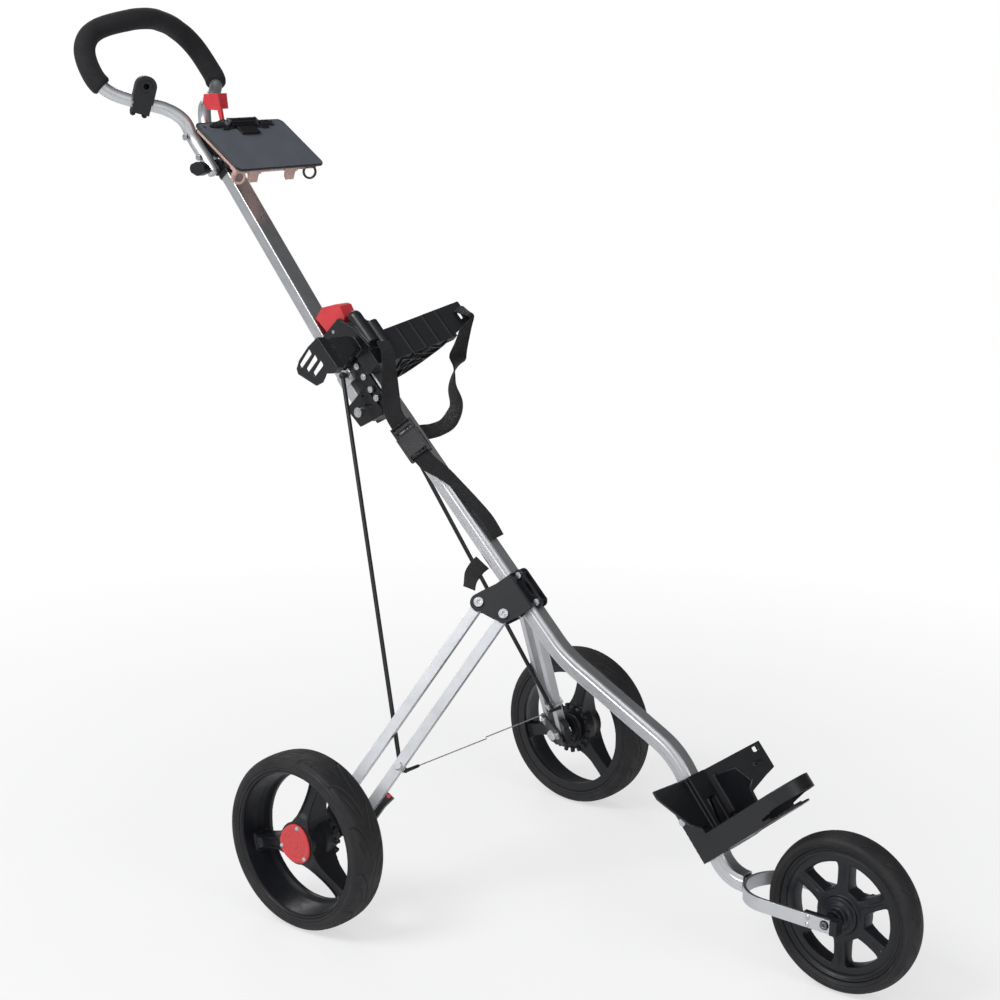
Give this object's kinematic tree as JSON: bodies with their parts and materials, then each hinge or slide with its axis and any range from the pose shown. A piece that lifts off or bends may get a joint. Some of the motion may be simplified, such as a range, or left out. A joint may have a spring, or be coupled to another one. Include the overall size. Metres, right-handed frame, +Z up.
{
  "type": "folding three-wheel golf push trolley",
  "caption": "Folding three-wheel push trolley for a golf bag: bent main tube, parallelogram rear legs, V bag rests and a looped grip.",
  "frame": {"origin": "on the ground, midway between the two rear wheels' centre planes, under the rear axle line", "axes": "+X forwards to the front wheel, +Y to the left, +Z up"},
  "size_m": [1.3661, 0.641, 1.1645],
  "materials": {
    "tube": "satin anodised",
    "steel": "bright zinc plated",
    "black_steel": "semi gloss powder coat",
    "plastic": "moulded, fine grain",
    "red": "semi gloss",
    "tyre": "moulded, matt",
    "foam": "closed cell foam, matt",
    "webbing": "woven polypropylene webbing",
    "tray": "translucent, tinted",
    "lid": "satin slate"
  },
  "bodies": {
    "frame": {"main_tube": "tube", "front_fork": "tube", "fork_end_blocks": "plastic", "fork_rivets": "steel", "front_axle": "steel", "bracket_half_right": "black_steel", "bracket_half_left": "black_steel", "bracket_bolts": "steel", "leg_pivot_bolts": "steel", "hinge_plates": "black_steel", "hinge_pin": "steel", "side_bolts": "steel", "upper_cradle": "plastic", "latch_pin": "steel", "strap_loop": "webbing", "strap_short": "webbing", "strap_tail": "webbing", "buckle_body": "plastic", "buckle_tongue": "plastic", "lower_cradle": "plastic", "cradle_screws": "steel"},
    "front_wheel": {"front_rim": "plastic", "front_tyre": "tyre"},
    "upper": {"upper_tube": "tube", "tube_head": "plastic"},
    "latch": {"fold_latch": "red"},
    "handle": {"handle_tube": "tube", "foam_grip": "foam", "console_bracket": "plastic", "handle_bolts": "steel", "console_tray": "tray", "accessory_clamp": "plastic"},
    "knob": {"clamp_knob": "plastic"},
    "lever": {"tilt_lever": "red"},
    "lid": {"console_lid": "lid"},
    "clip": {"card_clip": "plastic"},
    "leg_front_right": {"leg_bar_front_right": "tube"},
    "leg_rear_right": {"leg_bar_rear_right": "tube"},
    "carrier_right": {"wheel_carrier_right": "plastic", "carrier_pins_right": "steel", "rear_axle_right": "steel"},
    "release_right": {"release_tab_right": "red"},
    "wheel_right": {"rear_rim_right": "plastic", "rear_tyre_right": "tyre", "hub_cap_right": "red", "cap_screws_right": "steel"},
    "rod_right": {"push_rod_right": "black_steel"},
    "cable_right": {"tie_cable_right": "steel"},
    "leg_front_left": {"leg_bar_front_left": "tube"},
    "leg_rear_left": {"leg_bar_rear_left": "tube"},
    "carrier_left": {"wheel_carrier_left": "plastic", "carrier_pins_left": "steel", "rear_axle_left": "steel"},
    "release_left": {"release_tab_left": "red"},
    "wheel_left": {"rear_rim_left": "plastic", "rear_tyre_left": "tyre", "hub_cap_left": "red", "cap_screws_left": "steel"},
    "rod_left": {"push_rod_left": "black_steel"},
    "cable_left": {"tie_cable_left": "steel"}
  },
  "joints": [
    {"name": "fold", "type": "hinge", "parent": "frame", "child": "upper", "pos_m": [-0.158, 0, 0.622], "axis": [0, -1, 0], "range_deg": [0, 165]},
    {"name": "front_wheel_spin", "type": "hinge", "parent": "frame", "child": "front_wheel", "pos_m": [0.629, 0, 0.102], "axis": [0, 1, 0], "continuous": true},
    {"name": "latch_tilt", "type": "hinge", "parent": "frame", "child": "latch", "pos_m": [-0.20476, 0, 0.7296], "axis": [0, 1, 0], "range_deg": [0, 20]},
    {"name": "handle_tilt", "type": "hinge", "parent": "upper", "child": "handle", "pos_m": [-0.4516, 0, 0.941], "axis": [0, 1, 0], "range_deg": [0, 25]},
    {"name": "knob_turn", "type": "hinge", "parent": "handle", "child": "knob", "pos_m": [-0.4516, 0, 0.941], "axis": [0, 1, 0], "continuous": true},
    {"name": "lever_press", "type": "hinge", "parent": "handle", "child": "lever", "pos_m": [-0.446, 0, 1.001], "axis": [0, 1, 0], "range_deg": [0, 18]},
    {"name": "lid_open", "type": "hinge", "parent": "handle", "child": "lid", "pos_m": [-0.32231, 0, 0.9467], "axis": [0, 1, 0], "range_deg": [0, 70]},
    {"name": "clip_lift", "type": "hinge", "parent": "lid", "child": "clip", "pos_m": [-0.40143, 0, 1.00999], "axis": [0, -1, 0], "range_deg": [0, 20]},
    {"name": "leg_front_fold_right", "type": "hinge", "parent": "frame", "child": "leg_front_right", "pos_m": [0.11351, -0.0295, 0.38451], "axis": [0.429, -0.7891, 0.4396], "range_deg": [0, 50]},
    {"name": "leg_rear_fold_right", "type": "hinge", "parent": "frame", "child": "leg_rear_right", "pos_m": [0.08013, -0.04086, 0.39669], "axis": [0.429, -0.7891, 0.4396], "range_deg": [0, 50]},
    {"name": "carrier_level_right", "type": "hinge", "parent": "leg_front_right", "child": "carrier_right", "pos_m": [0.02867, -0.21613, 0.13233], "axis": [0.429, -0.7891, 0.4396], "range_deg": [-50, 0]},
    {"name": "rod_swing_right", "type": "hinge", "parent": "leg_front_right", "child": "rod_right", "pos_m": [0.04587, -0.16183, 0.19139], "axis": [-0.5219, 0.7254, -0.4489], "range_deg": [0, 29.76]},
    {"name": "cable_swing_right", "type": "hinge", "parent": "leg_front_right", "child": "cable_right", "pos_m": [0.05963, -0.16689, 0.1905], "axis": [-0.8529, 0, 0.5221], "range_deg": [0, 79.09]},
    {"name": "release_press_right", "type": "hinge", "parent": "carrier_right", "child": "release_right", "pos_m": [0.03554, -0.21931, 0.11991], "axis": [-0.429, 0.7891, -0.4396], "range_deg": [0, 15]},
    {"name": "wheel_spin_right", "type": "hinge", "parent": "carrier_right", "child": "wheel_right", "pos_m": [0, -0.2935, 0.118], "axis": [0, 1, 0], "continuous": true},
    {"name": "leg_front_fold_left", "type": "hinge", "parent": "frame", "child": "leg_front_left", "pos_m": [0.11351, 0.0295, 0.38451], "axis": [-0.429, -0.7891, -0.4396], "range_deg": [0, 50]},
    {"name": "leg_rear_fold_left", "type": "hinge", "parent": "frame", "child": "leg_rear_left", "pos_m": [0.08013, 0.04086, 0.39669], "axis": [-0.429, -0.7891, -0.4396], "range_deg": [0, 50]},
    {"name": "carrier_level_left", "type": "hinge", "parent": "leg_front_left", "child": "carrier_left", "pos_m": [0.02867, 0.21613, 0.13233], "axis": [-0.429, -0.7891, -0.4396], "range_deg": [-50, 0]},
    {"name": "rod_swing_left", "type": "hinge", "parent": "leg_front_left", "child": "rod_left", "pos_m": [0.04587, 0.16183, 0.19139], "axis": [0.5219, 0.7254, 0.4489], "range_deg": [0, 29.76]},
    {"name": "cable_swing_left", "type": "hinge", "parent": "leg_front_left", "child": "cable_left", "pos_m": [0.05963, 0.16689, 0.1905], "axis": [0.8529, 0, -0.5221], "range_deg": [0, 79.09]},
    {"name": "release_press_left", "type": "hinge", "parent": "carrier_left", "child": "release_left", "pos_m": [0.03554, 0.21931, 0.11991], "axis": [0.429, 0.7891, 0.4396], "range_deg": [0, 15]},
    {"name": "wheel_spin_left", "type": "hinge", "parent": "carrier_left", "child": "wheel_left", "pos_m": [0, 0.2935, 0.118], "axis": [0, 1, 0], "continuous": true}
  ],
  "couplings": [
    {"joint": "leg_front_fold_right", "follows": "fold", "ratio": 0.30303},
    {"joint": "leg_rear_fold_right", "follows": "fold", "ratio": 0.30303},
    {"joint": "carrier_level_right", "follows": "fold", "ratio": -0.30303},
    {"joint": "rod_swing_right", "follows": "fold", "ratio": 0.18039},
    {"joint": "cable_swing_right", "follows": "fold", "ratio": 0.47935},
    {"joint": "leg_front_fold_left", "follows": "fold", "ratio": 0.30303},
    {"joint": "leg_rear_fold_left", "follows": "fold", "ratio": 0.30303},
    {"joint": "carrier_level_left", "follows": "fold", "ratio": -0.30303},
    {"joint": "rod_swing_left", "follows": "fold", "ratio": 0.18039},
    {"joint": "cable_swing_left", "follows": "fold", "ratio": 0.47935}
  ]
}
